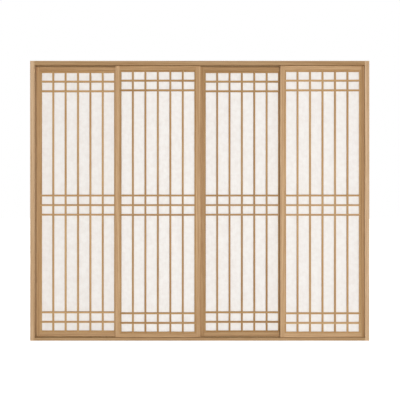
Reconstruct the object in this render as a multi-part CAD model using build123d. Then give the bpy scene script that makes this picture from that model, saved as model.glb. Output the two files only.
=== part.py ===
"""Sliding lattice screen: four paper-backed lattice panels in a two-track wooden frame.

Units are millimetres. X runs along the width, Y from front (minus) to back (plus), Z up.
The origin is on the floor, in the middle of the frame's width and depth.
Panels are numbered from the left. Panels 1 and 3 run on the rear track rail, 2 and 4 on the front one.
"""

import os

from build123d import *

os.makedirs("parts", exist_ok=True)

# ---- Frame ----
frame_width = 2545.0
frame_height = 2100.0
jamb_thickness = 33.0
head_thickness = 33.0
sill_thickness = 22.0
sill_groove_depth = 6.0  # the panels' lower edges run in it
face_recess = 22.5  # from the frame's face to the nearer panel's face
frame_edge_radius = 1.5

# ---- Panels ----
panel_count = 4
panel_thickness = 30.0
panel_gap = 10.0  # between a front panel and a rear one
stile_width = 33.0
top_rail_height = 31.0
panel_edge_radius = 1.0
tenon_length = 20.0
tenon_thickness = 10.0
tenon_shoulder = 4.0

# ---- How the panels sit in the frame ----
closing_groove_depth = 11.0  # in a jamb, for the panel that shuts against it
closing_entry = 8.0  # how far a shut panel goes into that groove
groove_side_gap = 1.0  # beside a panel, in the jambs and in the sill
meeting_overlap = 4.0  # of panels 2 and 3, in the middle
meeting_shift = 2.5  # of panels 2 and 3 together, to the right
top_gap = 1.0  # between a top rail's shoulder and the head
bottom_gap = 4.0  # between a bottom rail and the floor of the sill's groove
tongue_thickness = 16.0
tongue_height = 12.0
tongue_side_gap = 1.0
head_groove_depth = 15.0

# ---- Lattice ----
border_width = 12.0
bar_width = 14.0
bar_depth = 10.0
lattice_setback = 4.0  # behind the panel's face
upright_count = 5
small_cell_height = 59.0
middle_bar_height = 1017.0  # middle crossbar's centre above the floor
paper_thickness = 0.8
paper_edge_gap = 1.0
bead_depth = 7.0

# ---- Rollers and track rails ----
track_rail_width = 5.0
track_rail_height = 3.5  # above the floor of the sill's groove
track_rail_embedding = 3.0  # below that floor
running_gap = 0.3
wheel_tread_radius = 8.0
wheel_flange_height = 2.0
wheel_width = 8.0
wheel_hub_radius = 4.0
wheel_side_gap = 0.3  # between the hub and the housing
hub_projection = 0.7
axle_radius = 2.0
axle_clearance = 0.05
housing_wall = 2.0
housing_roof = 1.0
housing_length = 46.0
wheel_clearance = 1.2
wood_over_roller = 10.0
roller_inset = 95.0  # from a panel's edge to its wheel's axle

# ---- Screws that join the frame, and holes that fix it to a wall ----
screw_radius = 2.5
screw_length = 70.0
screw_head_radius = 5.0
screw_head_depth = 2.5
screw_tip_length = 4.0
screw_tip_radius = 0.6
screw_drive_width = 3.0
screw_drive_depth = 1.8
screw_face_distance = 16.0  # from the frame's front or back face
fixing_radius = 2.75
fixing_countersink_radius = 5.5
fixing_countersink_depth = 2.75
fixing_end_distance = 250.0  # from the frame's top or bottom to the outer holes
fixing_middle_spacing = 500.0  # between the two middle holes

# ---- Worked out from the sizes above ----
track_pitch = panel_thickness + panel_gap
frame_depth = 2 * face_recess + 2 * panel_thickness + panel_gap
front_track_y = -track_pitch / 2
rear_track_y = track_pitch / 2
track_lines = (front_track_y, rear_track_y)

clear_width = frame_width - 2 * jamb_thickness
clear_half = clear_width / 2
head_bottom = frame_height - head_thickness
head_middle = frame_height - head_thickness / 2
tongue_groove_half = tongue_thickness / 2 + tongue_side_gap
panel_groove_half = panel_thickness / 2 + groove_side_gap
track_floor_z = sill_thickness - sill_groove_depth

# Shut, the four panels fill the clear width and both closing grooves, and neighbours overlap by a stile.
closed_half = clear_half + closing_entry
panel_width = (2 * closed_half + 2 * stile_width + meeting_overlap) / panel_count
outer_panel_x = closed_half - panel_width / 2
inner_panel_x = (panel_width - meeting_overlap) / 2

rail_crown_z = track_floor_z + track_rail_height
axle_z = rail_crown_z + running_gap + wheel_tread_radius
wheel_flange_radius = wheel_tread_radius + wheel_flange_height
housing_top = axle_z + wheel_flange_radius + wheel_clearance + housing_roof
hub_width = wheel_width + 2 * hub_projection
housing_inner_width = hub_width + 2 * wheel_side_gap
housing_width = housing_inner_width + 2 * housing_wall
roller_x = panel_width / 2 - roller_inset

panel_bottom = track_floor_z + bottom_gap
bottom_rail_top = housing_top + wood_over_roller
shoulder_z = head_bottom - top_gap
tongue_top = shoulder_z + tongue_height
top_rail_bottom = shoulder_z - top_rail_height

opening_width = panel_width - 2 * stile_width
half_opening = opening_width / 2
lattice_width = opening_width - 2 * border_width
lattice_bottom = bottom_rail_top + border_width
lattice_top = top_rail_bottom - border_width

face_y = -panel_thickness / 2
lattice_face_y = face_y + lattice_setback
half_lap_y = lattice_face_y + bar_depth / 2
lattice_back_y = lattice_face_y + bar_depth
paper_back_y = lattice_back_y + paper_thickness


def block(x, y, z):
    """A block between two places on each axis."""
    size = (x[1] - x[0], y[1] - y[0], z[1] - z[0])
    return Pos(x[0], y[0], z[0]) * Box(*size, align=(Align.MIN, Align.MIN, Align.MIN))


def eased_block(x, y, z, along, radius):
    """A block whose four long edges are rounded, along the axis given."""
    solid = block(x, y, z)
    return fillet(solid.edges().filter_by(along), radius)


def save(name, *solids):
    """Writes one node: a single solid, or a group of separate ones."""
    shape = solids[0] if len(solids) == 1 else Compound(children=list(solids))
    export_step(shape, f"parts/{name}.step")


# ---- Frame ----


def frame_screw():
    """A countersunk screw along X, its head flush at X = 0 and its tip towards +X."""
    shank_length = screw_length - screw_head_depth - screw_tip_length
    bottom = (Align.CENTER, Align.CENTER, Align.MIN)
    head = Cone(screw_head_radius, screw_radius, screw_head_depth, align=bottom)
    shank = Pos(0, 0, screw_head_depth) * Cylinder(screw_radius, shank_length, align=bottom)
    tip = Cone(screw_radius, screw_tip_radius, screw_tip_length, align=bottom)
    tip = Pos(0, 0, screw_head_depth + shank_length) * tip
    return Rot(0, 90, 0) * (head + shank + tip)


def screw_places():
    """Depth and height of each screw on one side: two at the sill's end and two at the head's."""
    screw_y = frame_depth / 2 - screw_face_distance
    return [(y, z) for y in (-screw_y, screw_y) for z in (sill_thickness / 2, head_middle)]


def frame_screws():
    """Two screws at each corner of the frame, through the jambs into the head and the sill."""
    left = [Pos(-frame_width / 2, y, z) * frame_screw() for y, z in screw_places()]
    right = [mirror(screw, about=Plane.YZ) for screw in left]
    return left + right


def screw_recesses(left_side):
    """Square driving recesses in the screw heads of one side."""
    half = screw_drive_width / 2
    outer = -frame_width / 2 if left_side else frame_width / 2 - screw_drive_depth
    return [
        block((outer, outer + screw_drive_depth), (y - half, y + half), (z - half, z + half))
        for y, z in screw_places()
    ]


def fixing_heights():
    """Heights of a jamb's four fixing holes."""
    middle = frame_height / 2
    outer_half = middle - fixing_end_distance
    inner_half = fixing_middle_spacing / 2
    return [middle + offset for offset in (-outer_half, -inner_half, inner_half, outer_half)]


def left_jamb(screws):
    """The left jamb: its closing groove, on the rear track, hides the four fixing holes."""
    outer_x = -frame_width / 2
    inner_x = -clear_half
    groove_x = inner_x - closing_groove_depth
    half_depth = frame_depth / 2
    jamb = eased_block(
        (outer_x, inner_x), (-half_depth, half_depth), (0, frame_height), Axis.Z, frame_edge_radius
    )
    cuts = list(screws)
    cuts.append(
        block(
            (groove_x, inner_x),
            (rear_track_y - panel_groove_half, rear_track_y + panel_groove_half),
            (track_floor_z, head_bottom),
        )
    )
    # The head's groove runs on into the jamb, for the tongue of the shut panel.
    cuts.append(
        block(
            (groove_x, inner_x),
            (rear_track_y - tongue_groove_half, rear_track_y + tongue_groove_half),
            (head_bottom, head_bottom + head_groove_depth),
        )
    )
    sink_x = groove_x - fixing_countersink_depth / 2
    for z in fixing_heights():
        hole = Cylinder(fixing_radius, 2 * jamb_thickness)
        cuts.append(Pos(inner_x, rear_track_y, z) * Rot(0, 90, 0) * hole)
        sink = Cone(fixing_radius, fixing_countersink_radius, fixing_countersink_depth)
        cuts.append(Pos(sink_x, rear_track_y, z) * Rot(0, 90, 0) * sink)
    return jamb - cuts


def head(screws):
    """The head, with a groove over each track for the panels' tongues."""
    half_depth = frame_depth / 2
    board = eased_block(
        (-clear_half, clear_half),
        (-half_depth, half_depth),
        (head_bottom, frame_height),
        Axis.X,
        frame_edge_radius,
    )
    grooves = [
        block(
            (-clear_half, clear_half),
            (track_y - tongue_groove_half, track_y + tongue_groove_half),
            (head_bottom, head_bottom + head_groove_depth),
        )
        for track_y in track_lines
    ]
    return board - grooves - list(screws)


def track_rail(track_y):
    """A rail with a round crown, let into the floor of a groove in the sill."""
    half = track_rail_width / 2
    crown_centre_z = rail_crown_z - half
    web = block(
        (-clear_half, clear_half),
        (track_y - half, track_y + half),
        (track_floor_z - track_rail_embedding, crown_centre_z),
    )
    crown = Pos(0, track_y, crown_centre_z) * Rot(0, 90, 0) * Cylinder(half, clear_width)
    return web + crown


def sill(screws):
    """The sill, with a groove for each row of panels and a slot in its floor for the track rail."""
    half_depth = frame_depth / 2
    board = eased_block(
        (-clear_half, clear_half),
        (-half_depth, half_depth),
        (0, sill_thickness),
        Axis.X,
        frame_edge_radius,
    )
    cuts = list(screws)
    for track_y in track_lines:
        cuts.append(
            block(
                (-clear_half, clear_half),
                (track_y - panel_groove_half, track_y + panel_groove_half),
                (track_floor_z, sill_thickness),
            )
        )
        cuts.append(
            block(
                (-clear_half, clear_half),
                (track_y - track_rail_width / 2, track_y + track_rail_width / 2),
                (track_floor_z - track_rail_embedding, track_floor_z),
            )
        )
    return board - cuts


# ---- One panel, standing about X = 0 and Y = 0 at its real height ----


def tenon(side, low, high):
    """A rail's tenon: side is -1 on the left and 1 on the right."""
    ends = sorted((side * half_opening, side * (half_opening + tenon_length)))
    return block(
        ends,
        (-tenon_thickness / 2, tenon_thickness / 2),
        (low + tenon_shoulder, high - tenon_shoulder),
    )


def left_stile():
    """A stile with mortises for both rails and its share of the tongue."""
    x = (-panel_width / 2, -half_opening)
    stile = eased_block(x, (face_y, -face_y), (panel_bottom, shoulder_z), Axis.Z, panel_edge_radius)
    tongue = block(x, (-tongue_thickness / 2, tongue_thickness / 2), (shoulder_z, tongue_top))
    mortises = [tenon(-1, panel_bottom, bottom_rail_top), tenon(-1, top_rail_bottom, shoulder_z)]
    return stile + tongue - mortises


def top_rail():
    """The top rail: a tenon at each end and the tongue along its top."""
    x = (-half_opening, half_opening)
    rail = eased_block(
        x, (face_y, -face_y), (top_rail_bottom, shoulder_z), Axis.X, panel_edge_radius
    )
    tongue = block(x, (-tongue_thickness / 2, tongue_thickness / 2), (shoulder_z, tongue_top))
    tenons = [tenon(side, top_rail_bottom, shoulder_z) for side in (-1, 1)]
    return rail + tongue + tenons


def bottom_rail():
    """The bottom rail: a tenon at each end and a mortise for each roller housing."""
    x = (-half_opening, half_opening)
    rail = eased_block(
        x, (face_y, -face_y), (panel_bottom, bottom_rail_top), Axis.X, panel_edge_radius
    )
    tenons = [tenon(side, panel_bottom, bottom_rail_top) for side in (-1, 1)]
    mortises = [
        block(
            (x - housing_length / 2, x + housing_length / 2),
            (-housing_width / 2, housing_width / 2),
            (panel_bottom, housing_top),
        )
        for x in (-roller_x, roller_x)
    ]
    return rail + tenons - mortises


def upright_places():
    """Centres of the uprights, with equal clear cells between them and the border."""
    cell = (lattice_width - upright_count * bar_width) / (upright_count + 1)
    first = -lattice_width / 2 + cell + bar_width / 2
    return [first + index * (cell + bar_width) for index in range(upright_count)]


def crossbar_places():
    """Heights of the crossbars: a pair at the bottom, three in the middle, a pair at the top."""
    step = small_cell_height + bar_width
    first = small_cell_height + bar_width / 2
    bottom_pair = [lattice_bottom + first, lattice_bottom + first + step]
    middle_three = [middle_bar_height + count * step for count in (-1, 0, 1)]
    top_pair = [lattice_top - first - step, lattice_top - first]
    return bottom_pair + middle_three + top_pair


front_half = (lattice_face_y, half_lap_y)
back_half = (half_lap_y, lattice_back_y)
half_bar = bar_width / 2


def upright():
    """One upright about X = 0: it laps over the border at its ends and under every crossbar."""
    x = (-half_bar, half_bar)
    bar = block(x, (lattice_face_y, lattice_back_y), (bottom_rail_top, top_rail_bottom))
    laps = [block(x, front_half, (z - half_bar, z + half_bar)) for z in crossbar_places()]
    laps.append(block(x, back_half, (bottom_rail_top, lattice_bottom)))
    laps.append(block(x, back_half, (lattice_top, top_rail_bottom)))
    return bar - laps


def crossbar():
    """One crossbar about Z = 0: it laps over the border at its ends and over every upright."""
    z = (-half_bar, half_bar)
    bar = block((-half_opening, half_opening), (lattice_face_y, lattice_back_y), z)
    laps = [block((x - half_bar, x + half_bar), back_half, z) for x in upright_places()]
    laps.append(block((-half_opening, -lattice_width / 2), back_half, z))
    laps.append(block((lattice_width / 2, half_opening), back_half, z))
    return bar - laps


def border_strips():
    """Four strips inside the stiles and rails, notched for the ends of the bars."""
    y = (lattice_face_y, lattice_back_y)
    left = block((-half_opening, -lattice_width / 2), y, (bottom_rail_top, top_rail_bottom))
    left -= [
        block((-half_opening, -lattice_width / 2), front_half, (z - half_bar, z + half_bar))
        for z in crossbar_places()
    ]
    level_strips = []
    for low, high in ((bottom_rail_top, lattice_bottom), (lattice_top, top_rail_bottom)):
        strip = block((-lattice_width / 2, lattice_width / 2), y, (low, high))
        notches = [
            block((x - half_bar, x + half_bar), front_half, (low, high)) for x in upright_places()
        ]
        level_strips.append(strip - notches)
    return [left, mirror(left, about=Plane.YZ)] + level_strips


def paper():
    """One sheet that covers the lattice's back, border strips included."""
    return block(
        (-half_opening + paper_edge_gap, half_opening - paper_edge_gap),
        (lattice_back_y, paper_back_y),
        (bottom_rail_top + paper_edge_gap, top_rail_bottom - paper_edge_gap),
    )


def paper_beads():
    """Four beads that hold the paper against the border strips from behind."""
    y = (paper_back_y, paper_back_y + bead_depth)
    inner = lattice_width / 2
    return [
        block((-half_opening, -inner), y, (bottom_rail_top, top_rail_bottom)),
        block((inner, half_opening), y, (bottom_rail_top, top_rail_bottom)),
        block((-inner, inner), y, (bottom_rail_top, lattice_bottom)),
        block((-inner, inner), y, (lattice_top, top_rail_bottom)),
    ]


def axle():
    """A pin across the housing, about X = 0."""
    return Pos(0, 0, axle_z) * Rot(90, 0, 0) * Cylinder(axle_radius, housing_width)


def roller_housing():
    """A channel that is open below, with the axle's hole through both walls."""
    half_length = housing_length / 2
    shell = block(
        (-half_length, half_length),
        (-housing_width / 2, housing_width / 2),
        (panel_bottom, housing_top),
    )
    cavity = block(
        (housing_wall - half_length, half_length - housing_wall),
        (-housing_inner_width / 2, housing_inner_width / 2),
        (panel_bottom, housing_top - housing_roof),
    )
    return shell - cavity - axle()


def wheel():
    """A grooved wheel that straddles the rail's crown, with a hub on each side."""
    groove_radius = track_rail_width / 2 + running_gap
    disc = Cylinder(wheel_flange_radius, wheel_width) - Torus(
        wheel_tread_radius + groove_radius, groove_radius
    )
    hub = Cylinder(wheel_hub_radius, hub_width)
    bore = Cylinder(axle_radius + axle_clearance, 2 * hub_width)
    return Pos(0, 0, axle_z) * Rot(90, 0, 0) * (disc + hub - bore)


def panel_nodes():
    """Each node of a panel, by name, with its solids."""
    stile = left_stile()
    one_upright = upright()
    one_crossbar = crossbar()
    one_housing = roller_housing()
    one_axle = axle()
    one_wheel = wheel()
    return {
        "left_stile": [stile],
        "right_stile": [mirror(stile, about=Plane.YZ)],
        "top_rail": [top_rail()],
        "bottom_rail": [bottom_rail()],
        "lattice_border": border_strips(),
        "uprights": [Pos(x, 0, 0) * one_upright for x in upright_places()],
        "crossbars": [Pos(0, 0, z) * one_crossbar for z in crossbar_places()],
        "paper": [paper()],
        "paper_beads": paper_beads(),
        "roller_housings": [Pos(x, 0, 0) * one_housing for x in (-roller_x, roller_x)],
        "axles": [Pos(x, 0, 0) * one_axle for x in (-roller_x, roller_x)],
        "left_wheel": [Pos(-roller_x, 0, 0) * one_wheel],
        "right_wheel": [Pos(roller_x, 0, 0) * one_wheel],
    }


# ---- Write the frame ----
screws = frame_screws()
jamb = left_jamb(screws)
save("left_jamb", jamb)
save("right_jamb", Rot(0, 0, 180) * jamb)  # turned round, so its groove is on the front track
save("head", head(screws))
save("sill", sill(screws))
save("front_track_rail", track_rail(front_track_y))
save("rear_track_rail", track_rail(rear_track_y))
recesses = screw_recesses(True) + screw_recesses(False)
save("frame_screws", *[screw - recesses for screw in screws])

# ---- Write the panels, all alike, at their shut places ----
panel_places = (
    (-outer_panel_x, rear_track_y),
    (meeting_shift - inner_panel_x, front_track_y),
    (meeting_shift + inner_panel_x, rear_track_y),
    (outer_panel_x, front_track_y),
)
nodes = panel_nodes()
for number, (x, y) in enumerate(panel_places, start=1):
    for name, solids in nodes.items():
        save(f"panel_{number}_{name}", *[Pos(x, y, 0) * solid for solid in solids])

print("panel width", round(panel_width, 2), "outer", outer_panel_x, "inner", inner_panel_x)
print("lattice", round(lattice_width, 2), "from", lattice_bottom, "to", lattice_top)
print("bottom rail", bottom_rail_top - panel_bottom, "axle height", axle_z, "roller", roller_x)
print("crossbars", [round(z, 1) for z in crossbar_places()])
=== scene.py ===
# %% [markdown]
# # A sliding lattice screen
#
# Four wooden lattice panels, each backed with paper, roll past each other in a frame with two tracks.
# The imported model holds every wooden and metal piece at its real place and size, so it is loaded here as
# a fixed frame. This script gives each piece its finish, eases the lattice's sharp edges, and makes the
# paper, which is thin, fibrous and drawn tight, so a plain block can't show it.

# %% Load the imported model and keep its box
import math
import random

import bpy
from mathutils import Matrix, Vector, noise


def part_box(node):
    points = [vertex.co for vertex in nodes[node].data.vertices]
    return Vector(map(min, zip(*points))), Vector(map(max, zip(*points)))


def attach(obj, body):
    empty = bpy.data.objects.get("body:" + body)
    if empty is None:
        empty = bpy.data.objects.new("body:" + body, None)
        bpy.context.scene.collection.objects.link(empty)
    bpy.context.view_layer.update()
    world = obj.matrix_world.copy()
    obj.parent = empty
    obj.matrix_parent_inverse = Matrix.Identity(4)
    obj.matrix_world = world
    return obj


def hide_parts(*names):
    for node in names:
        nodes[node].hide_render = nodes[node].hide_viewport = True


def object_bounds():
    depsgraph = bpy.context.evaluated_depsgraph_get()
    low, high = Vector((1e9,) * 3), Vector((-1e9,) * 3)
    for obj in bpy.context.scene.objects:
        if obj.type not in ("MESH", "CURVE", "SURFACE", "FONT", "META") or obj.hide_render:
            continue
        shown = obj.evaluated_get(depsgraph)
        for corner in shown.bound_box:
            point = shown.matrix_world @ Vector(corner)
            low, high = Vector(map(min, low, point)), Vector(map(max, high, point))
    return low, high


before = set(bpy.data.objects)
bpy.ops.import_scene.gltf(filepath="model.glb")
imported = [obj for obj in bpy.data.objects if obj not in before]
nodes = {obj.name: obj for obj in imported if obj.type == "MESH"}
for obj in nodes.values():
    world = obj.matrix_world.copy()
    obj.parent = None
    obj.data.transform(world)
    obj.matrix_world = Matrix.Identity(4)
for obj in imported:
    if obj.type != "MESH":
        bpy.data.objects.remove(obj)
cad_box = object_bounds()
bpy.ops.object.select_all(action="DESELECT")

# %% [markdown]
# ## The camera
#
# The screen is seen square on, from a little over four and a half metres, at half its height. A tilted
# camera would make the jambs lean towards each other, so the camera stays level and only its height is
# chosen. From that near, the rear panels look a little smaller than the front ones, which is what shows
# that there are two tracks.

# %% Place the camera
SENSOR_WIDTH = 36.0  # millimetres, as Blender has it for a camera
FOCAL_LENGTH = 55.8  # millimetres
CAMERA_DISTANCE = 4.65  # from the frame's face
CAMERA_RISE = 0.006  # above the middle of the screen
CAMERA_SIDE = 0.002  # to the right of the middle

low, high = cad_box
screen_middle = (low + high) / 2
camera_data = bpy.data.cameras.new("camera")
camera_data.sensor_width = SENSOR_WIDTH
camera_data.lens = FOCAL_LENGTH
camera = bpy.data.objects.new("camera", camera_data)
camera.location = (CAMERA_SIDE, low.y - CAMERA_DISTANCE, screen_middle.z + CAMERA_RISE)
camera.rotation_euler = (math.radians(90), 0, 0)
bpy.context.scene.collection.objects.link(camera)
bpy.context.scene.camera = camera
print("camera at", camera.location)

# %% [markdown]
# ## Light
#
# A studio shot of pale wood on white has two kinds of light. The world is a soft grey dome that reaches
# everywhere, and two wide lamps, one well in front and one behind, light the faces that look their way.
# The lamps are level with the screen, so the head throws no shadow over the panels, and what faces across
# their light turns dark: the head's underside, the sill's top and the jambs' inner faces. Three beams of
# parallel light, from the left, the right and straight above, light the frame's outer sides. Each runs
# exactly along an axis, so the frame shades its own inside from it. The dome has to be dimmer than the white
# that stands behind the screen, and the Light Path node tells the two apart. The standard view transform
# keeps whites white, where a filmic one would grey them.

# %% Light the studio
DOME_STRENGTH = 0.34
BACKDROP_STRENGTH = 1.0
LAMP_SIZE = 2.0
LAMP_DISTANCE = 8.0
LAMP_SIDE = 0.7
LAMPS = {  # place along X, place along Y, and power in watts
    "front_lamp": (LAMP_SIDE, -LAMP_DISTANCE, 560),
    "back_lamp": (-LAMP_SIDE, LAMP_DISTANCE, 430),
}
BEAM_STRENGTH = 1.5
BEAM_TURNS = {"left_beam": (0, -90, 0), "right_beam": (0, 90, 0), "top_beam": (0, 0, 0)}  # degrees

world = bpy.data.worlds.new("studio")
world.use_nodes = True
dome_nodes = world.node_tree
sky = dome_nodes.nodes["Background"]
sky.inputs["Color"].default_value = (1, 1, 1, 1)
ray = dome_nodes.nodes.new("ShaderNodeLightPath")
strength = dome_nodes.nodes.new("ShaderNodeMapRange")
strength.inputs["To Min"].default_value = DOME_STRENGTH
strength.inputs["To Max"].default_value = BACKDROP_STRENGTH
dome_nodes.links.new(ray.outputs["Is Camera Ray"], strength.inputs["Value"])
dome_nodes.links.new(strength.outputs[0], sky.inputs["Strength"])
bpy.context.scene.world = world
bpy.context.scene.view_settings.view_transform = "Standard"

for name, (x, y, power) in LAMPS.items():
    lamp_data = bpy.data.lights.new(name, "AREA")
    lamp_data.size = LAMP_SIZE
    lamp_data.energy = power
    lamp = bpy.data.objects.new(name, lamp_data)
    lamp.location = (x, y, screen_middle.z)
    lamp.rotation_euler = (screen_middle - lamp.location).to_track_quat("-Z", "Y").to_euler()
    bpy.context.scene.collection.objects.link(lamp)
    print(name, "at", lamp.location)

for name, turn in BEAM_TURNS.items():
    beam_data = bpy.data.lights.new(name, "SUN")
    beam_data.energy = BEAM_STRENGTH
    beam = bpy.data.objects.new(name, beam_data)
    beam.rotation_euler = [math.radians(degrees) for degrees in turn]
    bpy.context.scene.collection.objects.link(beam)
print("beams", list(BEAM_TURNS))

# %% [markdown]
# ## The floor
#
# The floor is a pale sweep, lit a little from within like a light table, so that it comes out as white as
# the backdrop and keeps only a faint shadow where the screen stands. Its glow would shine up into the
# frame, so it is hidden from diffuse light, and the dome lights the screen from below too.

# %% Lay the floor
FLOOR_SIZE = 60
FLOOR_TONE = 0.5
FLOOR_ROUGHNESS = 0.9
FLOOR_GLOW = 0.86

bpy.ops.mesh.primitive_plane_add(size=FLOOR_SIZE, location=(0, 0, 0))
floor = bpy.context.object
floor.name = "studio_floor"
floor.visible_diffuse = False
floor_paint = bpy.data.materials.new("floor_paint")
floor_paint.use_nodes = True
floor_shader = floor_paint.node_tree.nodes["Principled BSDF"]
floor_shader.inputs["Base Color"].default_value = (FLOOR_TONE, FLOOR_TONE, FLOOR_TONE, 1)
floor_shader.inputs["Roughness"].default_value = FLOOR_ROUGHNESS
floor_shader.inputs["Specular IOR Level"].default_value = 0.0  # no mirror image of the screen
floor_shader.inputs["Emission Color"].default_value = (1, 1, 1, 1)
floor_shader.inputs["Emission Strength"].default_value = FLOOR_GLOW
floor.data.materials.append(floor_paint)
bpy.ops.object.select_all(action="DESELECT")

# %% [markdown]
# ## Building a finish from nodes
#
# Every finish below is a small tree of shader nodes. Adding a node, setting its options and joining its
# inputs takes four lines each time, so one helper does it: a socket given as an input is linked, and
# anything else is set as a value. Noise is the stuff of nearly every finish. Its values crowd about 0.5,
# so it is stretched between two limits before it is used.

# %% Helpers that add shader nodes
def add(tree, kind, inputs=None, **options):
    """Adds one node. Inputs are values or the sockets to link, by name or number."""
    node = tree.nodes.new(kind)
    for option, value in options.items():
        setattr(node, option, value)
    for name, value in (inputs or {}).items():
        if isinstance(value, bpy.types.NodeSocket):
            tree.links.new(value, node.inputs[name])
        else:
            node.inputs[name].default_value = value
    return node


def math_node(tree, operation, first, second=0.0):
    """One sum on two numbers or sockets."""
    return add(tree, "ShaderNodeMath", {0: first, 1: second}, operation=operation).outputs[0]


def vector_node(tree, operation, first, second):
    """One sum on two vectors or colours."""
    return add(tree, "ShaderNodeVectorMath", {0: first, 1: second}, operation=operation).outputs[0]


def mixed(tree, *shares):
    """Adds up values, each times its share."""
    total = 0.0
    for value, share in shares:
        total = math_node(tree, "ADD", math_node(tree, "MULTIPLY", value, share), total)
    return total


def spread(tree, value, low=0.0, high=1.0, to_low=0.0, to_high=1.0):
    """Stretches a value between two limits over a new range, and clips it there."""
    limits = {"Value": value, "From Min": low, "From Max": high, "To Min": to_low, "To Max": to_high}
    return add(tree, "ShaderNodeMapRange", limits).outputs[0]


def object_place(tree):
    """The place of a point on the piece, in metres."""
    return add(tree, "ShaderNodeTexCoord").outputs["Object"]


def cloud_noise(tree, place, scale, detail):
    """A noise with cells of one size all ways, the given number a metre."""
    inputs = {"Vector": place, "Scale": scale, "Detail": detail}
    return add(tree, "ShaderNodeTexNoise", inputs).outputs["Fac"]


def raise_bumps(tree, surface, height, strength, distance):
    """Gives a surface the fine relief of a height, over the given distance in metres."""
    bump = add(tree, "ShaderNodeBump", {"Height": height, "Strength": strength, "Distance": distance})
    tree.links.new(bump.outputs[0], surface.inputs["Normal"])


def colour_steps(tree, factor, steps):
    """A colour ramp with the given (place, colour) steps."""
    node = add(tree, "ShaderNodeValToRGB", {"Fac": factor})
    ramp = node.color_ramp
    while len(ramp.elements) < len(steps):
        ramp.elements.new(1.0)
    for element, (place, colour) in zip(ramp.elements, steps):
        element.position = place
        element.color = (*colour, 1)
    return node.outputs["Color"]


def new_finish(name):
    """A material with an empty tree, its surface shader and its output."""
    material = bpy.data.materials.new(name)
    material.use_nodes = True
    tree = material.node_tree
    tree.nodes.clear()
    surface = add(tree, "ShaderNodeBsdfPrincipled")
    output = add(tree, "ShaderNodeOutputMaterial", {"Surface": surface.outputs[0]})
    return material, tree, surface, output


# %% [markdown]
# ## Wood
#
# The real screen is of a pale, straight-grained wood with a thin satin oil. A board is cut from a log, so
# its grain is a slice through the log's rings: fine lines along its faces and small arcs on its ends. That
# is how it is made here. Each board gets its own coordinates with Z along its grain, pushed well away from
# the log's heart, and rings about that heart give lines on the faces and arcs on the ends for free.
# Fibres are a noise that is stretched along the grain, and pores are short dark dashes of a finer one.

# %% Give each board its own place in the log
ALONG_GRAIN = {"Z": (0, 0, 0), "X": (0, -math.pi / 2, 0)}  # turns that bring the grain along Z
HEART_NEAREST = 0.28  # from a board's middle to the log's heart
HEART_FURTHEST = 0.5
MOST_LEAN = 35  # degrees, of the line to the heart off the X axis
LOG_LENGTH = 20
MOST_SLOPE = math.radians(0.7)  # of the grain to the board's edge


def log_place(seed):
    """Where in a log a board was cut, and how its grain slopes."""
    dice = random.Random(seed)
    distance = dice.uniform(HEART_NEAREST, HEART_FURTHEST)
    side = dice.choice((-1, 1))
    angle = math.radians(dice.uniform(-MOST_LEAN, MOST_LEAN))
    height = dice.uniform(0, LOG_LENGTH)
    shift = (side * distance * math.cos(angle), distance * math.sin(angle), height)
    slope = (dice.uniform(-MOST_SLOPE, MOST_SLOPE), dice.uniform(-MOST_SLOPE, MOST_SLOPE))
    return shift, slope


def board_place(tree, place, along, seed):
    """Turns a place on the board into a place in the log, with the grain along Z."""
    shift, slope = log_place(seed)
    turned = add(tree, "ShaderNodeMapping", {"Vector": place, "Rotation": ALONG_GRAIN[along]})
    inputs = {"Vector": turned.outputs[0], "Location": shift, "Rotation": (*slope, 0)}
    return add(tree, "ShaderNodeMapping", inputs).outputs[0]


# %% Noises and rings of the log
RING_SPACING = 0.0065
WAVE_TURNS = 20  # radians that a wave texture of scale 1 turns through in a metre
RING_DRIFT = 7.0  # radians by which the rings wander, so that no two are alike
DRIFT_SCALE = 0.55
DRIFT_DETAIL = 3.0
GRAIN_STRETCH = 0.05  # how little the wandering changes along the board
FINE_CELLS = 0.6  # how much the finer cells of a noise count


def stretched_noise(tree, place, across, along, detail):
    """A noise with cells of the given number a metre, across and along the grain."""
    squeezed = add(tree, "ShaderNodeMapping", {"Vector": place, "Scale": (across, across, along)})
    inputs = {
        "Vector": squeezed.outputs[0],
        "Scale": 1.0,
        "Detail": detail,
        "Roughness": FINE_CELLS,
    }
    return add(tree, "ShaderNodeTexNoise", inputs).outputs["Fac"]


def growth_rings(tree, place):
    """Rings about the log's heart, uneven in their spacing, with a sharp dark edge."""
    straight = add(tree, "ShaderNodeMapping", {"Vector": place, "Scale": (1, 1, GRAIN_STRETCH)})
    inputs = {
        "Vector": straight.outputs[0],
        "Scale": 2 * math.pi / (WAVE_TURNS * RING_SPACING),
        "Distortion": RING_DRIFT,
        "Detail": DRIFT_DETAIL,
        "Detail Scale": DRIFT_SCALE,
        "Detail Roughness": FINE_CELLS,
    }
    options = {"wave_type": "RINGS", "rings_direction": "Z", "wave_profile": "SAW"}
    return add(tree, "ShaderNodeTexWave", inputs, **options).outputs["Fac"]


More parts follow.
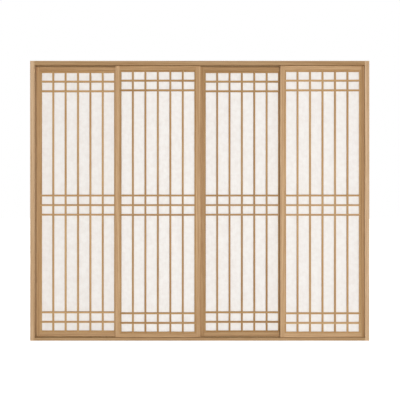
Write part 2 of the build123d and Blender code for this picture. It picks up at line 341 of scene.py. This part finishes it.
# %% Oiled wood
FIBRES = (900, 9, 3.0)  # cells a metre across the grain, along it, and levels of finer cells
STREAKS = (110, 0.8, 2.0)
PORES = (2300, 70, 1.0)
NOISE_RANGE = (0.3, 0.7)  # nearly all of a noise's values lie in it
PORE_RANGE = (0.62, 0.72)  # only the highest values of a noise are pores
RING_SHARE = 0.28  # of the figure: the three shares add up to one
FIBRE_SHARE = 0.34
STREAK_SHARE = 0.38
TONE_PLACES = (0.26, 0.5, 0.74)  # of the dark, middle and light colours in the figure
PORE_SHADE = 0.7
ROUGH_BETWEEN = 0.64  # between the fibres, where the oil has sunk deepest
ROUGH_FIBRE = 0.46
OIL_GLOSS = 0.22  # the oil has sunk in, so the wood shines less than a varnish, at 0.5
FIBRE_RELIEF = 0.6
RING_RELIEF = 0.3
PORE_RELIEF = -1.0
WOOD_BUMP = 0.4
WOOD_RELIEF_DEPTH = 0.0003


def grain_finish(name, place_maker, tones):
    """Oiled wood. tones are its dark, middle and light colours."""
    material, tree, surface, _ = new_finish(name)
    place = place_maker(tree)
    rings = growth_rings(tree, place)
    fibres = spread(tree, stretched_noise(tree, place, *FIBRES), *NOISE_RANGE)
    streaks = spread(tree, stretched_noise(tree, place, *STREAKS), *NOISE_RANGE)
    pores = spread(tree, stretched_noise(tree, place, *PORES), *PORE_RANGE)
    figure = mixed(tree, (rings, RING_SHARE), (fibres, FIBRE_SHARE), (streaks, STREAK_SHARE))
    colour = colour_steps(tree, figure, list(zip(TONE_PLACES, tones)))
    pored = vector_node(tree, "MULTIPLY", colour, spread(tree, pores, to_low=1.0, to_high=PORE_SHADE))
    tree.links.new(pored, surface.inputs["Base Color"])
    roughness = spread(tree, fibres, to_low=ROUGH_BETWEEN, to_high=ROUGH_FIBRE)
    tree.links.new(roughness, surface.inputs["Roughness"])
    surface.inputs["Specular IOR Level"].default_value = OIL_GLOSS
    relief = mixed(tree, (fibres, FIBRE_RELIEF), (rings, RING_RELIEF), (pores, PORE_RELIEF))
    raise_bumps(tree, surface, relief, WOOD_BUMP, WOOD_RELIEF_DEPTH)
    return material


def give(node_name, material):
    """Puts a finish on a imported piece."""
    slot = nodes[node_name].material_slots[0]
    slot.link = "OBJECT"
    slot.material = material


# %% Tones of the wood
FRAME_WOOD = ((0.362, 0.211, 0.095), (0.471, 0.304, 0.164), (0.580, 0.407, 0.251))
PANEL_WOOD = ((0.317, 0.175, 0.071), (0.422, 0.255, 0.122), (0.528, 0.350, 0.187))
BAR_WOOD = ((0.313, 0.166, 0.055), (0.416, 0.244, 0.098), (0.518, 0.336, 0.155))
DEEPENING = (0.8, 1.0, 1.5)  # darker wood is also redder: its green and blue fall faster than its red


def toned(tones, share):
    """A set of wood tones made paler or deeper together."""
    factors = [share**power for power in DEEPENING]
    return [tuple(channel * factor for channel, factor in zip(tone, factors)) for tone in tones]


# %% Coordinates for a piece that is one board
def from_middle(tree, node_name):
    """The place of a point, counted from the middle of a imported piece."""
    lowest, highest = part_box(node_name)
    return vector_node(tree, "SUBTRACT", object_place(tree), (lowest + highest) / 2)


def single_board(node_name, along, seed):
    """Makes the coordinates of a piece that is one board."""

    def make(tree):
        return board_place(tree, from_middle(tree, node_name), along, seed)

    return make


# %% [markdown]
# ## The frame
#
# The two jambs are the palest boards and stand full height, with the head and the sill between them. Their
# grain runs along their length, so the head's and sill's lines are level and the jambs' upright. The track
# rails are let into the sill, and the frame's screws show only on the outer faces of the jambs.

# %% Finish the frame's boards
FRAME_BOARDS = {  # the way its grain runs, and its tone as a share of the frame's wood
    "left_jamb": ("Z", 1.01),
    # The right jamb's higher share than the left's is painted light from the right.
    "right_jamb": ("Z", 1.06),
    "head": ("X", 0.69),
    "sill": ("X", 0.69),
}
for seed, (board, (along, share)) in enumerate(FRAME_BOARDS.items(), start=1):
    wood = grain_finish(board + "_wood", single_board(board, along, seed), toned(FRAME_WOOD, share))
    give(board, wood)
print("frame boards", list(FRAME_BOARDS))

# %% [markdown]
# ## Metal and plastic
#
# The track rails are brass strip, drawn lengthwise, so their fine scratches run along them. The screws,
# axles and roller housings are plain steel, and the wheels are moulded nylon with a faint cloud of grime.

# %% Drawn metal
SCRATCH_DETAIL = 3.0
SCRATCH_SHADE = 0.72  # of the metal's colour, in a scratch
SCRATCH_RANGE = (0.3, 0.6)  # from a scratch to clean metal, in the noise
SMOOTHER = 0.1  # how far the roughness strays below its middle
ROUGHER = 0.15  # and above it
SCRATCH_BUMP = 0.2
FINE_RELIEF = 0.0002


def drawn_metal(name, colour, roughness, scratch_scale):
    """Metal with fine scratches. scratch_scale is the scratches' number a metre on each axis."""
    material, tree, surface, _ = new_finish(name)
    squeezed = add(
        tree, "ShaderNodeMapping", {"Vector": object_place(tree), "Scale": scratch_scale}
    )
    scratches = cloud_noise(tree, squeezed.outputs[0], 1.0, SCRATCH_DETAIL)
    scratched = tuple(channel * SCRATCH_SHADE for channel in colour)
    shade = colour_steps(tree, scratches, list(zip(SCRATCH_RANGE, (scratched, colour))))
    tree.links.new(shade, surface.inputs["Base Color"])
    rough = spread(tree, scratches, to_low=roughness - SMOOTHER, to_high=roughness + ROUGHER)
    tree.links.new(rough, surface.inputs["Roughness"])
    raise_bumps(tree, surface, scratches, SCRATCH_BUMP, FINE_RELIEF)
    surface.inputs["Metallic"].default_value = 1.0
    return material


BRASS = (0.72, 0.53, 0.25)
BRASS_ROUGHNESS = 0.34
BRASS_SCRATCHES = (14, 900, 900)  # long along the rail
STEEL = (0.56, 0.56, 0.57)
STEEL_ROUGHNESS = 0.38
STEEL_SCRATCHES = (500, 500, 500)

rail_brass = drawn_metal("rail_brass", BRASS, BRASS_ROUGHNESS, BRASS_SCRATCHES)
plain_steel = drawn_metal("plain_steel", STEEL, STEEL_ROUGHNESS, STEEL_SCRATCHES)
for track_rail in ("front_track_rail", "rear_track_rail"):
    give(track_rail, rail_brass)
give("frame_screws", plain_steel)
print("metals", rail_brass.name, plain_steel.name)

# %% Moulded nylon
GRIME = (0.55, 0.53, 0.48)
NYLON = (0.76, 0.75, 0.70)
GRIME_RANGE = (0.35, 0.6)  # from grime to clean nylon, in the noise
GRIME_SCALE = 260.0
GRIME_DETAIL = 4.0
GRIME_BUMP = 0.1
NYLON_ROUGHNESS = 0.45


def nylon(name):
    """Moulded plastic with a faint cloud of grime."""
    material, tree, surface, _ = new_finish(name)
    cloud = cloud_noise(tree, object_place(tree), GRIME_SCALE, GRIME_DETAIL)
    shade = colour_steps(tree, cloud, list(zip(GRIME_RANGE, (GRIME, NYLON))))
    tree.links.new(shade, surface.inputs["Base Color"])
    raise_bumps(tree, surface, cloud, GRIME_BUMP, FINE_RELIEF)
    surface.inputs["Roughness"].default_value = NYLON_ROUGHNESS
    return material


wheel_nylon = nylon("wheel_nylon")

# %% [markdown]
# ## Stiles and rails of the panels
#
# The four panels are alike but for their boards: no two stiles come from the same place in a log, so each
# board gets its own seed and its own tone. All are a little darker than the jambs. The tones also hold
# painted shade: the rear panels' boards, panel 3's most, are toned darker as painted shade of the deeper
# track, and every top rail is toned darker than its bottom rail, as painted shade under the head. Panel 4's
# right stile, next to the right jamb, is toned about as dark as panel 3's boards.

# %% Finish the panels' boards
SEEDS_PER_PANEL = 10
BOARDS = {"left_stile": "Z", "right_stile": "Z", "top_rail": "X", "bottom_rail": "X"}
# The rear panels' lower shares, panel 3's most, and each top rail's share below its bottom rail's, are
# painted shade.
BOARD_TONES_AND_SHADE = {  # each panel's boards in that order, as shares of the panels' wood
    1: (0.90, 0.87, 0.94, 1.03),
    2: (1.07, 0.98, 0.86, 0.95),
    3: (0.71, 0.75, 0.75, 0.85),
    4: (1.04, 0.74, 1.06, 1.08),
}

for number, tones in BOARD_TONES_AND_SHADE.items():
    first_seed = SEEDS_PER_PANEL * number
    for seed, ((part, along), share) in enumerate(zip(BOARDS.items(), tones), start=first_seed):
        board = f"panel_{number}_{part}"
        place_maker = single_board(board, along, seed)
        give(board, grain_finish(board + "_wood", place_maker, toned(PANEL_WOOD, share)))
    for part in ("roller_housings", "axles"):
        give(f"panel_{number}_{part}", plain_steel)
    for part in ("left_wheel", "right_wheel"):
        give(f"panel_{number}_{part}", wheel_nylon)
print("panels finished", list(BOARD_TONES_AND_SHADE))

# %% [markdown]
# ## The lattice
#
# A panel's uprights are one piece of the model, and so are its crossbars, but a real maker cuts each bar
# from a different strip. The finish has to know which bar it is on. A bar's number is its distance from the
# first bar divided by the bars' spacing, rounded, and a white noise of that number pushes each bar to its
# own place in the log. The border strips and the paper's beads run both ways in one piece, so a mask picks
# the direction: the strips at the two sides are upright, and those between them are level.

# %% Coordinates for a row of bars
BAR_WIDTH = 0.014
STRIP_THROW = 0.12  # how far apart in the log neighbouring bars may be


def bar_row(node_name, across, spacing, along, seed):
    """Coordinates for equal bars set side by side along one axis, each from its own strip."""
    first_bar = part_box(node_name)[0]["XYZ".index(across)] + BAR_WIDTH / 2

    def make(tree):
        parts = add(tree, "ShaderNodeSeparateXYZ", {0: object_place(tree)})
        from_first = math_node(tree, "SUBTRACT", parts.outputs[across], first_bar)
        number = math_node(tree, "ROUND", math_node(tree, "DIVIDE", from_first, spacing))
        throw = add(tree, "ShaderNodeTexWhiteNoise", {"W": number}, noise_dimensions="1D")
        push = vector_node(tree, "MULTIPLY", throw.outputs["Color"], (STRIP_THROW,) * 3)
        pushed = vector_node(tree, "ADD", from_middle(tree, node_name), push)
        return board_place(tree, pushed, along, seed)

    return make


# %% Coordinates for a frame of four strips
def border_frame(node_name, strip_width, seed):
    """Coordinates for two upright strips with two level strips between them."""
    lowest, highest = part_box(node_name)
    inner_half = (highest.x - lowest.x) / 2 - strip_width

    def make(tree):
        centred = from_middle(tree, node_name)
        parts = add(tree, "ShaderNodeSeparateXYZ", {0: centred})
        distance = math_node(tree, "ABSOLUTE", parts.outputs["X"])
        upright = math_node(tree, "GREATER_THAN", distance, inner_half)
        level_place = board_place(tree, centred, "X", seed)
        upright_place = board_place(tree, centred, "Z", seed + 1)
        # Inputs 4 and 5 and output 1 of a Mix node are its vectors.
        inputs = {"Factor": upright, 4: level_place, 5: upright_place}
        return add(tree, "ShaderNodeMix", inputs, data_type="VECTOR").outputs[1]

    return make


# %% Ease the lattice's edges
EASED_EDGE = 0.0005
EASED_SEGMENTS = 2
SAME_POINT = 0.00001  # points closer than this are one
SAME_FACE = math.radians(1)  # faces that meet at less than this are one
SHARP_EDGE = math.radians(50)  # edges that turn more than this are eased


def ease_edges(node_name):
    """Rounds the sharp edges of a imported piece, as sandpaper would."""
    piece = nodes[node_name]
    weld = piece.modifiers.new("join_triangles", "WELD")
    weld.merge_threshold = SAME_POINT
    flatten = piece.modifiers.new("clean_faces", "DECIMATE")
    flatten.decimate_type = "DISSOLVE"
    flatten.angle_limit = SAME_FACE
    bevel = piece.modifiers.new("eased_edges", "BEVEL")
    bevel.width = EASED_EDGE
    bevel.segments = EASED_SEGMENTS
    bevel.angle_limit = SHARP_EDGE


# %% Finish the lattice
BORDER_WIDTH = 0.012
CROSSBAR_STEP = 0.073  # between the crossbars of one group
UPRIGHTS = 5
LATTICE_SEED = 100  # keeps the lattice's seeds clear of the boards'
SEED_STEPS = {"uprights": 0, "crossbars": 1, "lattice_border": 3, "paper_beads": 5}
LATTICE_TONES = {1: 0.99, 2: 0.78, 3: 0.75, 4: 0.97}

for number, share in LATTICE_TONES.items():
    lattice_wood = toned(BAR_WOOD, share)
    names = {part: f"panel_{number}_{part}" for part in SEED_STEPS}
    seeds = {part: LATTICE_SEED + SEEDS_PER_PANEL * number + step for part, step in SEED_STEPS.items()}
    first_edge, last_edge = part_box(names["uprights"])
    spacing = (last_edge.x - first_edge.x - BAR_WIDTH) / (UPRIGHTS - 1)
    place_makers = {
        "uprights": bar_row(names["uprights"], "X", spacing, "Z", seeds["uprights"]),
        "crossbars": bar_row(names["crossbars"], "Z", CROSSBAR_STEP, "X", seeds["crossbars"]),
    }
    for part in ("lattice_border", "paper_beads"):
        place_makers[part] = border_frame(names[part], BORDER_WIDTH, seeds[part])
    for part, place_maker in place_makers.items():
        give(names[part], grain_finish(names[part] + "_wood", place_maker, lattice_wood))
        ease_edges(names[part])
print("uprights spaced", round(spacing * 1000, 2), "mm apart")

# %% [markdown]
# ## The paper
#
# Screen paper is made of long plant fibres, so it is warm white, slightly cloudy, and crossed by fine
# strands that mostly run one way. It is pasted to the back of the bars and drawn tight, and between the
# bars it still bellies by a fraction of a millimetre. It lets some light through: from behind, the
# lattice shows as soft bars. One sheet is modelled as a fine flat grid and copied three times, each copy
# with a mesh of its own. Then each sheet is bellied between its bars and given its thickness.

# %% Strands of fibre
STRAND_RANGE = (0.56, 0.66)  # only the highest values of a noise are strands
STRAND_DETAIL = 2.0
STRAND_WAVER = 0.4
UPRIGHT_STRANDS = (3, 420, 9)  # degrees of tilt, and cells a metre across and along the strand
LEANING_STRANDS = (-24, 360, 16)
LEVEL_STRANDS = (80, 330, 20)
CROSSING_SHARE = 0.5  # how much the strands that cross the upright ones show


def strands(tree, where, tilt, across, along):
    """Thin strands at an angle: the narrow top of a long, thin noise."""
    turn = (0, math.radians(tilt), 0)
    turned = add(
        tree, "ShaderNodeMapping", {"Vector": where, "Rotation": turn, "Scale": (across, 1, along)}
    )
    inputs = {
        "Vector": turned.outputs[0],
        "Scale": 1.0,
        "Detail": STRAND_DETAIL,
        "Distortion": STRAND_WAVER,
    }
    thin_noise = add(tree, "ShaderNodeTexNoise", inputs).outputs["Fac"]
    return spread(tree, thin_noise, *STRAND_RANGE)


def all_strands(tree, where):
    """Upright strands, with fainter ones that lean or lie across them."""
    leaning = strands(tree, where, *LEANING_STRANDS)
    level = strands(tree, where, *LEVEL_STRANDS)
    crossing = math_node(tree, "MULTIPLY", math_node(tree, "MAXIMUM", leaning, level), CROSSING_SHARE)
    return math_node(tree, "MAXIMUM", crossing, strands(tree, where, *UPRIGHT_STRANDS))


# %% Paper's finish
PAPER_WHITE = (0.855, 0.833, 0.808)
PAPER_CLOUD = (0.82, 0.787, 0.757)
CLOUD_SCALE = 34.0
CLOUD_DETAIL = 5.0
CLOUD_RANGE = (0.35, 0.62)  # from cloudy to white, in the noise
STRAND_SHADE = 0.95
PAPER_ROUGHNESS = 0.9
PAPER_BUMP = 0.25
PAPER_RELIEF_DEPTH = 0.0003
LIGHT_THROUGH = 0.22


def screen_paper():
    """Fibrous paper that lets a little light through."""
    material, tree, surface, output = new_finish("screen_paper")
    where = object_place(tree)
    cloud = cloud_noise(tree, where, CLOUD_SCALE, CLOUD_DETAIL)
    base = colour_steps(tree, cloud, list(zip(CLOUD_RANGE, (PAPER_CLOUD, PAPER_WHITE))))
    found = all_strands(tree, where)
    shade = spread(tree, found, to_low=1.0, to_high=STRAND_SHADE)
    colour = vector_node(tree, "MULTIPLY", base, shade)
    tree.links.new(colour, surface.inputs["Base Color"])
    surface.inputs["Roughness"].default_value = PAPER_ROUGHNESS
    relief = math_node(tree, "ADD", cloud, found)
    raise_bumps(tree, surface, relief, PAPER_BUMP, PAPER_RELIEF_DEPTH)
    through = add(tree, "ShaderNodeBsdfTranslucent", {"Color": colour})
    inputs = {"Fac": LIGHT_THROUGH, 1: surface.outputs[0], 2: through.outputs[0]}
    both = add(tree, "ShaderNodeMixShader", inputs)
    tree.links.new(both.outputs[0], output.inputs["Surface"])
    return material


# %% Find where the bars hold the paper
ROUND_TO = 4  # decimals of a metre
NEXT_BAR = 1.5 * BAR_WIDTH  # a point further than this from a bar's first edge is on the next bar


def bar_middles(node_name, axis):
    """The middles of a row of bars, from the places of their points along one axis."""
    points = nodes[node_name].data.vertices
    bars = []
    for place in sorted({round(point.co[axis], ROUND_TO) for point in points}):
        if not bars or place - bars[-1][0] > NEXT_BAR:
            bars.append([place, place])
        bars[-1][1] = place
    return [(first + last) / 2 for first, last in bars]


def held_lines(panel, axis, bars):
    """Every line along which a sheet is pasted down: its two edges' strips and the bars between."""
    border_low, border_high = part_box(f"{panel}_lattice_border")
    edge = BORDER_WIDTH / 2
    return [border_low[axis] + edge, *bar_middles(f"{panel}_{bars}", axis), border_high[axis] - edge]


print("uprights", [round(x, 3) for x in held_lines("panel_1", 0, "uprights")])
print("crossbars", [round(z, 3) for z in held_lines("panel_1", 2, "crossbars")])

# %% How a sheet bellies between the bars
LEAST_BELLY = 0.00012
MOST_BELLY = 0.00038
FLAT_FROM = 0.05  # a cell's belly is full this far from its ends
RIPPLE = 0.00004
RIPPLES_ACROSS = 30  # a metre
RIPPLES_ALONG = 9


def swell(place, lines):
    """How free the paper is at a place, from 0 at a bar to 1 well away from one, and its cell."""
    for cell, (first, last) in enumerate(zip(lines, lines[1:])):
        if first <= place <= last:
            free = min(place - first, last - place) - BAR_WIDTH / 2
            reach = min(FLAT_FROM, (last - first - BAR_WIDTH) / 2)
            share = min(1.0, max(0.0, free / reach))
            return share * share * (3 - 2 * share), cell  # level at both ends of its rise
    return 0.0, -1


def belly_sheet(sheet, panel, dice):
    """Moves the sheet's points back a little inside every cell."""
    uprights = held_lines(panel, 0, "uprights")
    crossbars = held_lines(panel, 2, "crossbars")
    depths = {}
    for vertex in sheet.data.vertices:
        across, column = swell(vertex.co.x, uprights)
        along, row = swell(vertex.co.z, crossbars)
        depth = depths.setdefault((column, row), dice.uniform(LEAST_BELLY, MOST_BELLY))
        wave_place = Vector((vertex.co.x * RIPPLES_ACROSS, 0, vertex.co.z * RIPPLES_ALONG))
        vertex.co.y += across * along * (depth + RIPPLE * noise.noise(wave_place))


# %% Make one flat sheet
GRID_STEP = 0.01
PASTE_GAP = 0.00003  # between the bars and the paper

sheet_low, sheet_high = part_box("panel_1_paper")
sheet_middle = (sheet_low + sheet_high) / 2
sheet_width = sheet_high.x - sheet_low.x
sheet_height = sheet_high.z - sheet_low.z
bpy.ops.mesh.primitive_grid_add(
    x_subdivisions=round(sheet_width / GRID_STEP),
    y_subdivisions=round(sheet_height / GRID_STEP),
    size=1,
    location=(sheet_middle.x, sheet_low.y + PASTE_GAP, sheet_middle.z),
    rotation=(math.radians(90), 0, 0),
)
first_sheet = bpy.context.object
first_sheet.name = "panel_1_screen_paper"
first_sheet.scale = (sheet_width, sheet_height, 1)
bpy.ops.object.transform_apply(location=True, rotation=True, scale=True)
print("sheet", round(sheet_width, 5), "by", round(sheet_height, 5), "points", len(first_sheet.data.vertices))

# %% Copy it for the other panels
sheets = {"panel_1": first_sheet}
for panel in ("panel_2", "panel_3", "panel_4"):
    copy = first_sheet.copy()
    copy.data = first_sheet.data.copy()
    copy.name = f"{panel}_screen_paper"
    bpy.context.scene.collection.objects.link(copy)
    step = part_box(f"{panel}_paper")[0] - sheet_low
    for vertex in copy.data.vertices:
        vertex.co += step
    sheets[panel] = copy
print("sheets", [sheet.name for sheet in sheets.values()])

# %% Belly each sheet, give it its finish and thickness, and hang it on its panel
BELLY_SEED = 11
SHEET_THICKNESS = 0.00025

paper_finish = screen_paper()
belly_dice = random.Random(BELLY_SEED)
for panel, sheet in sheets.items():
    belly_sheet(sheet, panel, belly_dice)
    sheet.data.materials.append(paper_finish)
    bpy.ops.object.select_all(action="DESELECT")
    sheet.select_set(True)
    bpy.context.view_layer.objects.active = sheet
    solidify = sheet.modifiers.new("thickness", "SOLIDIFY")
    solidify.thickness = SHEET_THICKNESS
    solidify.offset = -1
    bpy.ops.object.modifier_apply(modifier=solidify.name)
    bpy.ops.object.shade_smooth()
    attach(sheet, panel)
    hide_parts(f"{panel}_paper")
    depths = [vertex.co.y for vertex in sheet.data.vertices]
    print(sheet.name, "from", round(min(depths), 5), "to", round(max(depths), 5))
bpy.ops.object.select_all(action="DESELECT")
